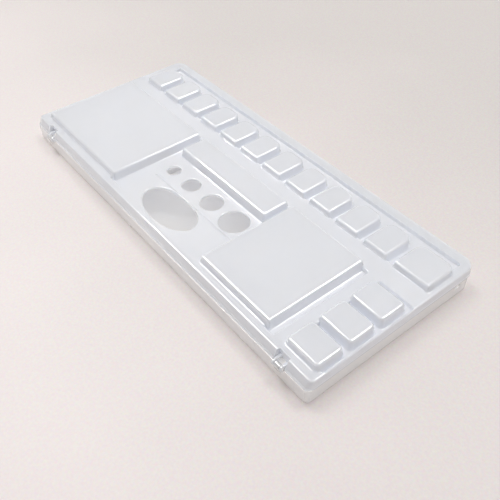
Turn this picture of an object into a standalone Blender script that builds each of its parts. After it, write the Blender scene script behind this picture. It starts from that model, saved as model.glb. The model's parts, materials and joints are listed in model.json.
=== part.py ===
"""Folding mixing palette: a well leaf closed over a mixing leaf, on two pinned hinges.

The palette lies shut, well leaf on top with its underside up. X runs along its length, the hinges
are on the -Y edge, and the origin is on the table under the middle of the footprint.
"""

import math
from collections import namedtuple

import bpy

MM = 0.001

Box = namedtuple("Box", "x0 x1 y0 y1")
Span = namedtuple("Span", "start end")

# Driving dimensions, in millimetres.
LENGTH = 240.0  # well leaf, along X at the seam
LEAF_DEPTH = 104.0  # well leaf, from its hinge face to its lip
HEIGHT = 17.0  # both leaves, shut
WALL = 1.2
SEAM_GAP = 0.3
LAND_DROP = 3.3  # from the well floors down to the border, trough and thumb panel
GROOVE_DROP = 5.0  # from the well floors down to the grooves between wells
EDGE_R = 1.4  # rounding of the raised floors
WALL_DRAFT = 0.6  # how far a raised wall spreads down to its foot
TOP_CORNER = 0.2  # extra rounding of the raised floors' corners
FRONT_LEAN = 1.9  # how far the hinge wall leans in, from the seam to the land
SIDE_LEAN = 0.5
LIP_R = 6.0  # corners of the lip edge, seen from above
HINGE_EDGE_R = 2.6  # corners of the hinge edge
END_INSET = 0.4  # mixing leaf, inside the well leaf's ends
LIP_OVERHANG = 0.8  # well leaf, past the mixing leaf at the lip
RIM_LIP = 1.0  # left standing between the last groove and the near end

# Row of small wells. The last one, at the near (+X) end, is wider.
SMALL_WELLS = 12
WELL_GAP = 4.4
LAST_WELL_EXTRA = 6.0
WELL_DEPTH = 18.8
WELL_BACK_R = 5.0
CORNER_R = 2.0
WELL_ROW_START = 9.3  # from the far (-X) end to the first well
WELL_ROW_END = 3.5  # from the last well to the near end
WELL_BACK_MARGIN = 12.4  # from the lip edge to the wells
MOAT_MARGIN = 6.4  # from the lip edge to the groove behind the wells
TROUGH_WIDTH = 11.2  # in front of the small wells

# Big mixing fields, long field and column of medium wells. "From front" is from the hinge face.
FIELD_FRONT = 6.9
FIELD_OVERLAP = 1.4  # how far the fields reach into the trough
FIELD_A_START = 6.0  # from the far end, as are the next two
FIELD_A_END = 80.0
LONG_FIELD_START = 84.6
LONG_FIELD_END = 84.7  # from the near end, as are the next two
FIELD_B_START = 81.8
FIELD_B_END = 32.4
LONG_FIELD_FRONT = 47.0
MEDIUM_WELLS = 3
MEDIUM_MARGIN = 3.1  # from the near end
MEDIUM_WIDTH = 19.0
MEDIUM_DEPTH = 15.0
MEDIUM_PITCH = 18.2
MEDIUM_FRONT = 7.1
SHELF_WIDTH = 6.4  # low shelf beside the medium wells

# Thumb panel, thumb hole and brush holes.
PANEL_START = 90.0  # from the far end
PANEL_BACK = 27.6  # from the front, like the holes
THUMB_X = 118.5
THUMB_FROM_FRONT = 16.2
THUMB_HALF_LENGTH = 19.4
THUMB_HALF_WIDTH = 10.6
BRUSH_FROM_FRONT = 36.2
BRUSH_HOLES = ((92.6, 3.8), (108.8, 5.1), (126.7, 6.3), (145.4, 8.0))  # from the far end, radius

# Hinges.
HINGE_FROM_END = 18.0
HINGE_STANDOFF = 0.15  # pin axis, outside the hinge faces
KNUCKLE_R = 1.4
PIN_R = 0.6
PIN_CLEARANCE = 0.25
BARREL_WIDTH = 3.0
EAR_WIDTH = 1.2
KNUCKLE_GAP = 0.3
POCKET_SIDE_GAP = 0.6
POCKET_DEPTH = 3.6
PIN_PROUD = 0.25
RELIEF = 0.3  # room round the turning ears

# Mixing leaf.
BOTTOM_R = 0.9
RIB_WIDTH = 1.8
RIB_HEIGHT = 2.4
MIXING_AREAS = 3
LIFT_NOTCH_WIDTH = 4.0
LIFT_NOTCH_DEPTH = 2.6
LIFT_NOTCH_FROM_LIP = 10.5

# Places that follow from the sizes above.
FRONT = -(LEAF_DEPTH - HINGE_STANDOFF - KNUCKLE_R) / 2  # hinge face of the leaves
BACK = FRONT + LEAF_DEPTH
FAR = -LENGTH / 2
NEAR = LENGTH / 2
HINGE_Y = FRONT - HINGE_STANDOFF
HINGE_Z = HEIGHT / 2
POCKET_WIDTH = BARREL_WIDTH + 2 * (EAR_WIDTH + KNUCKLE_GAP + POCKET_SIDE_GAP)
WELL_LEAF_SEAM = HINGE_Z + SEAM_GAP / 2
MIXING_LEAF_TOP = HINGE_Z - SEAM_GAP / 2
LAND_Z = HEIGHT - LAND_DROP
GROOVE_Z = HEIGHT - GROOVE_DROP
WELL_BACK = BACK - WELL_BACK_MARGIN
WELL_FRONT = WELL_BACK - WELL_DEPTH
TROUGH_FRONT = WELL_FRONT - TROUGH_WIDTH
FIELD_BACK = TROUGH_FRONT + FIELD_OVERLAP
LAST_WELL_END = NEAR - WELL_ROW_END
WELL_ROW = LAST_WELL_END - LAST_WELL_EXTRA - (FAR + WELL_ROW_START)
WELL_WIDTH = (WELL_ROW - (SMALL_WELLS - 1) * WELL_GAP) / SMALL_WELLS
FIELD_A = Span(FAR + FIELD_A_START, FAR + FIELD_A_END)
LONG_FIELD = Span(FAR + LONG_FIELD_START, NEAR - LONG_FIELD_END)
FIELD_B = Span(NEAR - FIELD_B_START, NEAR - FIELD_B_END)
PANEL = Span(FAR + PANEL_START, FIELD_B.start)
MEDIUM_START = NEAR - MEDIUM_MARGIN - MEDIUM_WIDTH
SHELF = Span(MEDIUM_START - SHELF_WIDTH, MEDIUM_START)
OVERCUT = 5.0  # how far a cutter runs past what it cuts
SINK = 0.8  # how far a raised floor's foot is sunk, so that it joins

ARC_STEPS = 3
ROUND_STEPS = 24


def grown(box, by):
    return Box(box.x0 - by, box.x1 + by, box.y0 - by, box.y1 + by)


def outline(box, front_r, back_r):
    """Corner arcs of a rounded rectangle, anticlockwise from the near front corner."""
    points = []
    corners = (
        (box.x1, box.y0, -1, 1, front_r, -90),
        (box.x1, box.y1, -1, -1, back_r, 0),
        (box.x0, box.y1, 1, -1, back_r, 90),
        (box.x0, box.y0, 1, 1, front_r, 180),
    )
    for x, y, inward_x, inward_y, radius, start in corners:
        for step in range(ARC_STEPS + 1):
            angle = math.radians(start + 90 * step / ARC_STEPS)
            points.append(
                (
                    x + inward_x * radius + radius * math.cos(angle),
                    y + inward_y * radius + radius * math.sin(angle),
                )
            )
    return points


def mesh_object(name, points, faces):
    mesh = bpy.data.meshes.new(name)
    mesh.from_pydata([[value * MM for value in point] for point in points], [], faces)
    mesh.validate()
    obj = bpy.data.objects.new(name, mesh)
    bpy.context.scene.collection.objects.link(obj)
    return obj


def loft(name, rings):
    """Closed body through rings of the same number of points, each (outline points, height)."""
    count = len(rings[0][0])
    points = [(x, y, z) for ring, z in rings for x, y in ring]
    faces = [tuple(reversed(range(count)))]
    for level in range(len(rings) - 1):
        low = level * count
        for i in range(count):
            j = (i + 1) % count
            faces.append((low + i, low + j, low + count + j, low + count + i))
    faces.append(tuple(range(len(points) - count, len(points))))
    return mesh_object(name, points, faces)


def raised_floor(name, box, front_r, back_r, foot_z):
    """A raised floor with spreading walls and a rounded edge."""
    rings = [(outline(grown(box, WALL_DRAFT), front_r + WALL_DRAFT, back_r + WALL_DRAFT), foot_z)]
    for angle in (0, 45, 90):
        inward = EDGE_R * (1 - math.cos(math.radians(angle)))
        drop = EDGE_R * (1 - math.sin(math.radians(angle)))
        ring = outline(grown(box, -inward), front_r - inward + TOP_CORNER, back_r - inward + TOP_CORNER)
        rings.append((ring, HEIGHT - drop))
    return loft(name, rings)


def hollow(name, box, front_r, back_r):
    """The space inside a raised floor, one wall smaller all over."""
    inner = grown(box, -WALL)
    front_r = max(front_r - WALL, 0.4)
    back_r = max(back_r - WALL, 0.4)
    top = HEIGHT - WALL
    soften = EDGE_R / 2
    return loft(
        name,
        [
            (outline(grown(inner, WALL_DRAFT), front_r + WALL_DRAFT, back_r + WALL_DRAFT), WELL_LEAF_SEAM),
            (outline(inner, front_r, back_r), top - soften),
            (outline(grown(inner, -soften), front_r, back_r), top),
        ],
    )


def block(name, box, low, high, radius=0.0):
    if radius:
        ring = outline(box, radius, radius)
    else:
        ring = [(box.x1, box.y0), (box.x1, box.y1), (box.x0, box.y1), (box.x0, box.y0)]
    return loft(name, [(ring, low), (ring, high)])


def ellipse_cutter(name, x, y, half_length, half_width):
    ring = []
    for step in range(ROUND_STEPS):
        angle = 2 * math.pi * step / ROUND_STEPS
        ring.append((x + half_length * math.cos(angle), y + half_width * math.sin(angle)))
    return loft(name, [(ring, WELL_LEAF_SEAM - OVERCUT), (ring, HEIGHT + OVERCUT)])


def rod(name, x, length, radius):
    """A cylinder along the hinge axis, centred on x."""
    points = []
    for end in (-length / 2, length / 2):
        for step in range(ROUND_STEPS // 2):
            angle = 4 * math.pi * step / ROUND_STEPS
            points.append((x + end, HINGE_Y + radius * math.cos(angle), HINGE_Z + radius * math.sin(angle)))
    count = ROUND_STEPS // 2
    faces = [tuple(reversed(range(count))), tuple(range(count, 2 * count))]
    for i in range(count):
        j = (i + 1) % count
        faces.append((i, j, count + j, count + i))
    return mesh_object(name, points, faces)


def combine(target, tool, operation):
    """Applies one exact Boolean to the target and removes the tool."""
    modifier = target.modifiers.new("combine", "BOOLEAN")
    modifier.operation = operation
    modifier.solver = "EXACT"
    modifier.object = tool
    graph = bpy.context.evaluated_depsgraph_get()
    result = bpy.data.meshes.new_from_object(target.evaluated_get(graph))
    target.modifiers.clear()
    used = target.data
    target.data = result
    result.name = target.name
    bpy.data.meshes.remove(used)
    mesh = tool.data
    bpy.data.objects.remove(tool)
    bpy.data.meshes.remove(mesh)


def cut(target, tool):
    combine(target, tool, "DIFFERENCE")


def join(target, tool):
    combine(target, tool, "UNION")


def small_wells():
    """Boxes of the small wells' floors, far end first."""
    for index in range(SMALL_WELLS):
        x0 = FAR + WELL_ROW_START + index * (WELL_WIDTH + WELL_GAP)
        x1 = LAST_WELL_END if index == SMALL_WELLS - 1 else x0 + WELL_WIDTH
        yield Box(x0, x1, WELL_FRONT, WELL_BACK)


def medium_wells():
    """Boxes of the medium wells' floors, nearest the hinge first."""
    for index in range(MEDIUM_WELLS):
        y0 = FRONT + MEDIUM_FRONT + index * MEDIUM_PITCH
        yield Box(MEDIUM_START, MEDIUM_START + MEDIUM_WIDTH, y0, y0 + MEDIUM_DEPTH)


def fields():
    """Boxes of the mixing fields: A, the long one and B."""
    yield Box(*FIELD_A, FRONT + FIELD_FRONT, FIELD_BACK)
    yield Box(*LONG_FIELD, FRONT + LONG_FIELD_FRONT, FIELD_BACK)
    yield Box(*FIELD_B, FRONT + FIELD_FRONT, FIELD_BACK)


def raised_floors():
    """Every raised floor, with the radii of its front and back corners."""
    found = [(box, CORNER_R, WELL_BACK_R) for box in small_wells()]
    found += [(box, CORNER_R, CORNER_R) for box in fields()]
    found += [(box, CORNER_R + 1, CORNER_R + 1) for box in medium_wells()]
    return found


def hinge_places():
    return (FAR + HINGE_FROM_END, NEAR - HINGE_FROM_END)


def well_leaf_shell():
    """The outside of the well leaf without its raised floors, as a solid block."""
    seam = Box(FAR, NEAR, FRONT, BACK)
    land = Box(FAR + SIDE_LEAN, NEAR - SIDE_LEAN, FRONT + FRONT_LEAN, BACK - SIDE_LEAN)
    edge = WALL / 2
    return loft(
        "well_leaf",
        [
            (outline(seam, HINGE_EDGE_R, LIP_R), WELL_LEAF_SEAM),
            (outline(land, HINGE_EDGE_R, LIP_R), LAND_Z - edge),
            (outline(grown(land, -edge), HINGE_EDGE_R, LIP_R), LAND_Z),
        ],
    )


def cut_grooves(leaf):
    """Grooves that part the raised floors, a step below the land."""
    near_lip = NEAR - SIDE_LEAN - RIM_LIP
    front_moat = FRONT + FIELD_FRONT - CORNER_R / 2
    panel_end = FRONT + PANEL_BACK
    grooves = (
        Box(FIELD_A.start + CORNER_R, LAST_WELL_END - CORNER_R, WELL_FRONT, BACK - MOAT_MARGIN),
        Box(FIELD_A.end - CORNER_R, FIELD_B.start + CORNER_R, panel_end, TROUGH_FRONT),
        Box(FIELD_A.end - CORNER_R, PANEL.start, front_moat, panel_end + CORNER_R),
        Box(FIELD_B.end - CORNER_R, SHELF.start, front_moat, TROUGH_FRONT),
        Box(SHELF.end, near_lip, FRONT + MEDIUM_FRONT + CORNER_R, TROUGH_FRONT),
    )
    for box in grooves:
        cut(leaf, block("groove", box, GROOVE_Z, HEIGHT + OVERCUT))


def cut_inside(leaf):
    """Hollows the leaf to one wall's thickness, following its lands and raised floors."""
    seam = grown(Box(FAR, NEAR, FRONT, BACK), -WALL)
    rise = (GROOVE_Z - WALL - WELL_LEAF_SEAM) / (LAND_Z - WELL_LEAF_SEAM)
    lean = FRONT_LEAN * rise
    high = Box(seam.x0 + SIDE_LEAN, seam.x1 - SIDE_LEAN, seam.y0 + lean, seam.y1 - SIDE_LEAN)
    front_r = HINGE_EDGE_R - WALL
    back_r = LIP_R - WALL
    rings = [
        (outline(seam, front_r, back_r), WELL_LEAF_SEAM - OVERCUT),
        (outline(seam, front_r, back_r), WELL_LEAF_SEAM),
        (outline(high, front_r, back_r), GROOVE_Z - WALL),
    ]
    cut(leaf, loft("inside", rings))
    inner_end = LAST_WELL_END - WALL
    far_inner = FAR + SIDE_LEAN + WALL
    front = FRONT + MEDIUM_FRONT
    lands = (
        Box(far_inner + EDGE_R, inner_end, TROUGH_FRONT + WALL, WELL_FRONT - WALL),
        Box(far_inner, FIELD_A.start + 2 * WALL, FRONT + FIELD_FRONT + WALL, WELL_BACK),
        Box(FAR + LIP_R, NEAR - LIP_R, BACK - MOAT_MARGIN + WALL, BACK - SIDE_LEAN - WALL),
        Box(PANEL.start + WALL, PANEL.end - WALL, front, FRONT + PANEL_BACK - WALL),
        Box(SHELF.start + WALL, SHELF.end - WALL, front + WALL, TROUGH_FRONT - 2 * WALL),
    )
    for box in lands:
        cut(leaf, block("land_inside", box, WELL_LEAF_SEAM, LAND_Z - WALL, WALL / 2))
    for box, front_r, back_r in raised_floors():
        cut(leaf, hollow("well_inside", box, front_r, back_r))


def cut_sills(leaf):
    """Opens each well and field into the trough or shelf beside it."""
    top = LAND_Z - WALL - 0.2
    margin = WALL + EDGE_R
    for box in small_wells():
        sill = Box(box.x0 + margin, box.x1 - margin, box.y0 - 2 * WALL, box.y0 + 2 * WALL)
        cut(leaf, block("sill", sill, WELL_LEAF_SEAM, top))
    for box in fields():
        sill = Box(box.x0 + margin, box.x1 - margin, box.y1 - 2 * WALL, box.y1 + WALL)
        cut(leaf, block("sill", sill, WELL_LEAF_SEAM, top))
    for box in medium_wells():
        sill = Box(box.x0 - 2 * WALL, box.x0 + 2 * WALL, box.y0 + margin, box.y1 - margin)
        cut(leaf, block("sill", sill, WELL_LEAF_SEAM, top))


def cut_holes(leaf):
    thumb = ellipse_cutter(
        "thumb_hole", FAR + THUMB_X, FRONT + THUMB_FROM_FRONT, THUMB_HALF_LENGTH, THUMB_HALF_WIDTH
    )
    cut(leaf, thumb)
    for x, radius in BRUSH_HOLES:
        cut(leaf, ellipse_cutter("brush_hole", FAR + x, FRONT + BRUSH_FROM_FRONT, radius, radius))


def add_ears(leaf):
    """Hinge pockets in the hinge wall, each with two ears that hold the pin."""
    half = POCKET_WIDTH / 2
    for x in hinge_places():
        housing = Box(x - half - WALL, x + half + WALL, FRONT + FRONT_LEAN, FRONT + POCKET_DEPTH + WALL)
        join(leaf, block("housing", housing, WELL_LEAF_SEAM, LAND_Z - WALL / 2))
        pocket = Box(x - half, x + half, FRONT - OVERCUT, FRONT + POCKET_DEPTH)
        cut(leaf, block("pocket", pocket, WELL_LEAF_SEAM - OVERCUT, HEIGHT + OVERCUT))
        for side in (-1, 1):
            middle = x + side * (BARREL_WIDTH + EAR_WIDTH + 2 * KNUCKLE_GAP) / 2
            ear = rod("ear", middle, EAR_WIDTH, KNUCKLE_R)
            half_ear = EAR_WIDTH / 2
            web = Box(middle - half_ear, middle + half_ear, FRONT, FRONT + POCKET_DEPTH + WALL / 2)
            join(ear, block("web", web, WELL_LEAF_SEAM, HINGE_Z + KNUCKLE_R + 0.6))
            join(leaf, ear)
        cut(leaf, rod("pin_bore", x, POCKET_WIDTH - KNUCKLE_GAP, PIN_R + PIN_CLEARANCE))


def well_leaf():
    leaf = well_leaf_shell()
    cut_grooves(leaf)
    for box, front_r, back_r in raised_floors():
        join(leaf, raised_floor("raised_floor", box, front_r, back_r, GROOVE_Z - SINK))
    cut_inside(leaf)
    cut_sills(leaf)
    cut_holes(leaf)
    add_ears(leaf)
    return leaf


def mixing_box():
    """Outside of the mixing leaf at its rim."""
    return Box(FAR + END_INSET, NEAR - END_INSET, FRONT, BACK - LIP_OVERHANG)


def add_barrels(leaf):
    """Hinge bosses with one barrel each, relieved where the ears turn."""
    half = POCKET_WIDTH / 2
    for x in hinge_places():
        boss = Box(x - half - WALL, x + half + WALL, FRONT + WALL / 2, FRONT + KNUCKLE_R + 2 * WALL)
        join(leaf, block("boss", boss, WALL / 2, MIXING_LEAF_TOP))
        ear_span = EAR_WIDTH + 2 * KNUCKLE_GAP
        for side in (-1, 1):
            middle = x + side * (BARREL_WIDTH + ear_span) / 2
            cut(leaf, rod("relief", middle, ear_span, KNUCKLE_R + RELIEF))
        barrel = rod("barrel", x, BARREL_WIDTH, KNUCKLE_R)
        web = Box(x - BARREL_WIDTH / 2, x + BARREL_WIDTH / 2, HINGE_Y - KNUCKLE_R / 2, FRONT + WALL)
        join(barrel, block("web", web, HINGE_Z - 2 * KNUCKLE_R, HINGE_Z))
        join(leaf, barrel)
        cut(leaf, rod("pin_bore", x, POCKET_WIDTH - KNUCKLE_GAP, PIN_R + PIN_CLEARANCE))


def mixing_leaf():
    outside = mixing_box()
    step = BOTTOM_R * (1 - math.cos(math.radians(45)))
    leaf = loft(
        "mixing_leaf",
        [
            (outline(grown(outside, -BOTTOM_R), HINGE_EDGE_R, LIP_R), 0.0),
            (outline(grown(outside, -step), HINGE_EDGE_R, LIP_R), step),
            (outline(outside, HINGE_EDGE_R, LIP_R), BOTTOM_R),
            (outline(outside, HINGE_EDGE_R, LIP_R), MIXING_LEAF_TOP),
        ],
    )
    inside = grown(outside, -WALL)
    front_r = HINGE_EDGE_R - WALL
    back_r = LIP_R - WALL
    rings = [
        (outline(grown(inside, -BOTTOM_R), front_r, back_r), WALL),
        (outline(inside, front_r, back_r), WALL + BOTTOM_R),
        (outline(inside, front_r, back_r), MIXING_LEAF_TOP + OVERCUT),
    ]
    cut(leaf, loft("inside", rings))
    for index in range(1, MIXING_AREAS):
        x = inside.x0 + (inside.x1 - inside.x0) * index / MIXING_AREAS
        foot = Box(x - RIB_WIDTH, x + RIB_WIDTH, inside.y0 - WALL / 2, inside.y1 + WALL / 2)
        crest = Box(x - RIB_WIDTH / 4, x + RIB_WIDTH / 4, foot.y0, foot.y1)
        rib = [(outline(foot, 0.1, 0.1), WALL / 2), (outline(crest, 0.1, 0.1), WALL + RIB_HEIGHT)]
        join(leaf, loft("rib", rib))
    for end in (-1, 1):
        x = end * NEAR
        y1 = BACK - LIFT_NOTCH_FROM_LIP
        notch = Box(x - 3 * WALL, x + 3 * WALL, y1 - LIFT_NOTCH_WIDTH, y1)
        low = MIXING_LEAF_TOP - LIFT_NOTCH_DEPTH
        cut(leaf, block("lift_notch", notch, low, MIXING_LEAF_TOP + OVERCUT))
    add_barrels(leaf)
    return leaf


def hinge_pin(name, x):
    length = BARREL_WIDTH + 2 * (KNUCKLE_GAP + EAR_WIDTH + PIN_PROUD)
    return rod(name, x, length, PIN_R)


def plastic(name, colour, roughness):
    material = bpy.data.materials.new(name)
    material.use_nodes = True
    shader = material.node_tree.nodes["Principled BSDF"]
    shader.inputs["Base Color"].default_value = (*colour, 1.0)
    shader.inputs["Roughness"].default_value = roughness
    shader.inputs["Metallic"].default_value = 0.0
    return material


def set_origin(obj, point):
    """Moves the object's origin without moving the object."""
    for vertex in obj.data.vertices:
        for axis in range(3):
            vertex.co[axis] -= point[axis] * MM
    obj.location = [value * MM for value in point]


def finish(obj, material):
    obj.data.materials.clear()
    obj.data.materials.append(material)
    obj.data.shade_smooth()
    obj.data.set_sharp_from_angle(angle=math.radians(30))


def main():
    for obj in list(bpy.data.objects):
        bpy.data.objects.remove(obj, do_unlink=True)

    leaf_below = mixing_leaf()
    finish(leaf_below, plastic("mixing_leaf", (0.80, 0.80, 0.82), 0.32))

    leaf_above = well_leaf()
    finish(leaf_above, plastic("well_leaf", (0.82, 0.82, 0.85), 0.28))
    set_origin(leaf_above, (0.0, HINGE_Y, HINGE_Z))

    pins = ("hinge_pin_far", "hinge_pin_near")
    for name, x in zip(pins, hinge_places()):
        pin = hinge_pin(name, x)
        finish(pin, plastic(name, (0.78, 0.78, 0.78), 0.35))
        set_origin(pin, (x, HINGE_Y, HINGE_Z))
        pin.parent = leaf_above
        pin.matrix_parent_inverse = leaf_above.matrix_basis.inverted()


main()
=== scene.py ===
# %% [markdown]
# # A folding mixing palette in milky plastic
#
# The palette is two moulded leaves that shut on each other along one long edge. It lies shut, with
# the well leaf on top and its underside up, so every well shows as a raised floor. This lesson
# loads the engineering model as a fixed frame, then makes the two leaves again as fine moulded
# sheets, adds the hinges, and finishes with the plastic, the table, the light and the camera.

import json
import math

import bmesh
import bpy
import numpy as np
from mathutils import Matrix, Vector
from mathutils.geometry import delaunay_2d_cdt


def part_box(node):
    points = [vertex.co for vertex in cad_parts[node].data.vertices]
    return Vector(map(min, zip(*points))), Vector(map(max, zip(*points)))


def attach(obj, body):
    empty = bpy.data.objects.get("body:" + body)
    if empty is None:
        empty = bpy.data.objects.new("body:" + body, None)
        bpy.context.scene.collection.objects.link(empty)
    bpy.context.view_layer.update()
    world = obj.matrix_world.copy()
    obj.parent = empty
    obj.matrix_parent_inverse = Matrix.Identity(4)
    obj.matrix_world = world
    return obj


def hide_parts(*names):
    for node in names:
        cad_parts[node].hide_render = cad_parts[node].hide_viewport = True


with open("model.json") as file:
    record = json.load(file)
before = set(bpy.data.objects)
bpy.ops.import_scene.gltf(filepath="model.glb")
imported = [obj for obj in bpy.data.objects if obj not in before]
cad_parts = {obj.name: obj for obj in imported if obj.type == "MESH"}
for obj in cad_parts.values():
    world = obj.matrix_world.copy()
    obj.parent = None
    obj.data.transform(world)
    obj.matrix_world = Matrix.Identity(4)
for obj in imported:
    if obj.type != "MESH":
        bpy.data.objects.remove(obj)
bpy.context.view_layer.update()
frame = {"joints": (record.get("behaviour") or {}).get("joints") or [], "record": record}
MM = 0.001

# %% [markdown]
# ## Where everything is
#
# Places come from the frame. The leaf's own box gives its ends and edges, and the record's named
# openings give the inside of every well, field and hole. An opening is smaller than the hollow that
# it stands for, so each kind is grown by the margin that it was drawn with. From here on all the
# sizes are in millimetres, because a palette is easier to think about in them.

# %% Ends, edges and levels
leaf_low, leaf_high = [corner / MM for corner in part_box("well_leaf")]
tray_low, tray_high = [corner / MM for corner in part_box("mixing_leaf")]
hinge = Vector(frame["joints"][0]["pos_m"]) / MM

WALL = 1.2
SEAM_GAP = 0.3
HINGE_STANDOFF = 0.15
LAND_DEPTH = 3.3  # from the raised floors down to the border, the trough and the thumb panel
GROOVE_DEPTH = 5.0  # from the raised floors down to the grooves between the wells
FAR, NEAR = leaf_low.x, leaf_high.x
FRONT, BACK = hinge.y + HINGE_STANDOFF, leaf_high.y
TOP = leaf_high.z
LAND = TOP - LAND_DEPTH
GROOVE = TOP - GROOVE_DEPTH
SEAM = hinge.z + SEAM_GAP / 2
TRAY_TOP = hinge.z - SEAM_GAP / 2
print(f"length {NEAR - FAR:.1f}, depth {BACK - FRONT:.1f}, height {TOP:.1f} mm")


# %% Boxes of the wells, fields and holes
class Box:
    """A rectangle seen from above, with the radii of its front and back corners."""

    def __init__(self, x0, x1, y0, y1, front_r=0.0, back_r=0.0):
        self.x0, self.x1, self.y0, self.y1 = x0, x1, y0, y1
        self.front_r, self.back_r = front_r, back_r

    def grown(self, by):
        radii = [max(radius + by, 0.05) for radius in (self.front_r, self.back_r)]
        return Box(self.x0 - by, self.x1 + by, self.y0 - by, self.y1 + by, *radii)


def opening(name, grow_front=0.0, grow_back=0.0, grow_x=0.0, front_r=0.0, back_r=0.0):
    """The floor that stands over a named opening of the record."""
    found = [o for o in frame["record"]["physics"]["openings"] if o["name"] == name]
    (x0, y0, _), (x1, y1, _) = found[0]["box_m"]
    return Box(
        x0 / MM - grow_x, x1 / MM + grow_x, y0 / MM - grow_front, y1 / MM + grow_back, front_r, back_r
    )


# Each kind's margins in front, behind and at the sides, then its front and back corners' radii.
SMALL_WELL = (WALL + 0.8, WALL + 1.3, WALL + 1.3, 1.1, 4.5)
MEDIUM_WELL = (WALL + 1.0, WALL + 1.0, WALL + 1.0, 2.0, 2.4)
FIELD = (WALL + 0.9, WALL + 0.9, WALL + 0.9, 1.2, 1.6)
small_wells = [opening(f"small_well_{i}", *SMALL_WELL) for i in range(1, 13)]
medium_wells = [opening(f"medium_well_{i}", *MEDIUM_WELL) for i in range(1, 4)]
fields = [opening(name, *FIELD) for name in ("field_a", "long_field", "field_b")]
floors = small_wells + medium_wells + fields
field_a, long_field, field_b = fields
well_width = small_wells[0].x1 - small_wells[0].x0
print(len(floors), "raised floors; a small well is", round(well_width, 2), "wide")

# %% [markdown]
# ## A moulded sheet
#
# The well leaf is one sheet of plastic, pressed up into floors and down into grooves. Boxes joined
# by Booleans would show hard creases where a real moulding is rounded, and a grid of points would
# leave saw teeth on the steep walls. So the sheet is drawn from above: lines run along every
# rounding, a Delaunay triangulation joins them, and one height rule lifts every point. The same
# drawing lifted by a second rule, one wall lower, makes the inside, and skirts join the two along
# the rim and the holes.


# %% Distances and outlines
def distance(points, box):
    """Signed distance from a rounded rectangle, negative inside."""
    middle_x, middle_y = (box.x0 + box.x1) / 2, (box.y0 + box.y1) / 2
    radius = np.where(points[:, 1] > middle_y, box.back_r, box.front_r)
    across = np.abs(points[:, 0] - middle_x) - (box.x1 - box.x0) / 2 + radius
    along = np.abs(points[:, 1] - middle_y) - (box.y1 - box.y0) / 2 + radius
    outside = np.hypot(np.maximum(across, 0), np.maximum(along, 0))
    return np.minimum(np.maximum(across, along), 0) + outside - radius


def outline(box, steps=8):
    """Points of a rounded rectangle, anticlockwise."""
    corners = (
        (box.x1 - box.front_r, box.y0 + box.front_r, box.front_r, -90),
        (box.x1 - box.back_r, box.y1 - box.back_r, box.back_r, 0),
        (box.x0 + box.back_r, box.y1 - box.back_r, box.back_r, 90),
        (box.x0 + box.front_r, box.y0 + box.front_r, box.front_r, 180),
    )
    points = []
    for x, y, radius, start in corners:
        for step in range(steps + 1):
            angle = math.radians(start + 90 * step / steps)
            points.append((x + radius * math.cos(angle), y + radius * math.sin(angle)))
    return points


# %% [markdown]
# ### How high the sheet stands
#
# A raised floor has a rounded edge, a wall with a little draft, and a hollow fillet at its foot.
# All three are a function of one number, the distance from the floor's outline, and of how high the
# ground is there. That is why the same few lines shape all eighteen floors, on the land and in the
# grooves.

# %% Profile of a raised floor
EDGE_R = 1.4
FOOT_R = 0.8
WALL_ANGLE = math.radians(82.2)
INSIDE_EDGE_R = 0.4
INSIDE_FOOT_R = 1.2
BEFORE_EDGE = 0.25  # flat strips beside the roundings, so that they shade flat
PAST_FOOT = 0.2


class Profile:
    """Edge, wall and foot of a raised floor."""

    def __init__(self, top, edge_r, foot_r):
        self.top, self.edge_r, self.foot_r = top, edge_r, foot_r
        self.slope = math.tan(WALL_ANGLE)
        self.edge_start = -edge_r * math.sin(WALL_ANGLE)
        self.wall_top = top - edge_r * (1 - math.cos(WALL_ANGLE))
        self.tangent = foot_r * math.tan(WALL_ANGLE / 2)

    def foot(self, ground):
        """Distances at which the foot fillet starts and ends."""
        meet = (self.wall_top - ground) / self.slope
        return meet - self.tangent * math.cos(WALL_ANGLE), meet + self.tangent

    def height(self, away, ground):
        start, end = self.foot(ground)
        inward = np.clip(away - self.edge_start, 0, self.edge_r)
        edge = self.top - self.edge_r + np.sqrt(self.edge_r**2 - inward**2)
        wall = self.wall_top - self.slope * away
        reach = np.clip(end - away, 0, self.foot_r)
        fillet = ground + self.foot_r - np.sqrt(np.maximum(self.foot_r**2 - reach**2, 0))
        found = np.where(away < 0, edge, wall)
        found = np.where(away > start, fillet, found)
        return np.where(away > end, ground, found)

    def lines(self, grounds, edge_steps, foot_steps):
        """Distances at which the sheet needs a line of points."""
        found = [self.edge_start - BEFORE_EDGE]
        found += [
            self.edge_start + self.edge_r * math.sin(WALL_ANGLE * i / edge_steps)
            for i in range(edge_steps + 1)
        ]
        for ground in grounds:
            start, end = self.foot(ground)
            for i in range(foot_steps + 1):
                turned = WALL_ANGLE * (1 - i / foot_steps)
                found.append(end - self.foot_r * math.sin(turned))
            found.append(end + PAST_FOOT)
        return found


outside_profile = Profile(TOP, EDGE_R, FOOT_R)
inside_profile = Profile(TOP - WALL, INSIDE_EDGE_R, INSIDE_FOOT_R)
print("wall foot at", [round(d, 2) for d in outside_profile.foot(GROOVE)])

# %% [markdown]
# ### Land and grooves
#
# The ground between the floors has two levels. The border, the trough in front of the small wells,
# the thumb panel and a shelf beside the medium wells are land. The rest is groove. A ramp runs down
# from the back of the thumb panel to the brush holes, which is why that groove has a wide edge of
# its own.

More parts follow.
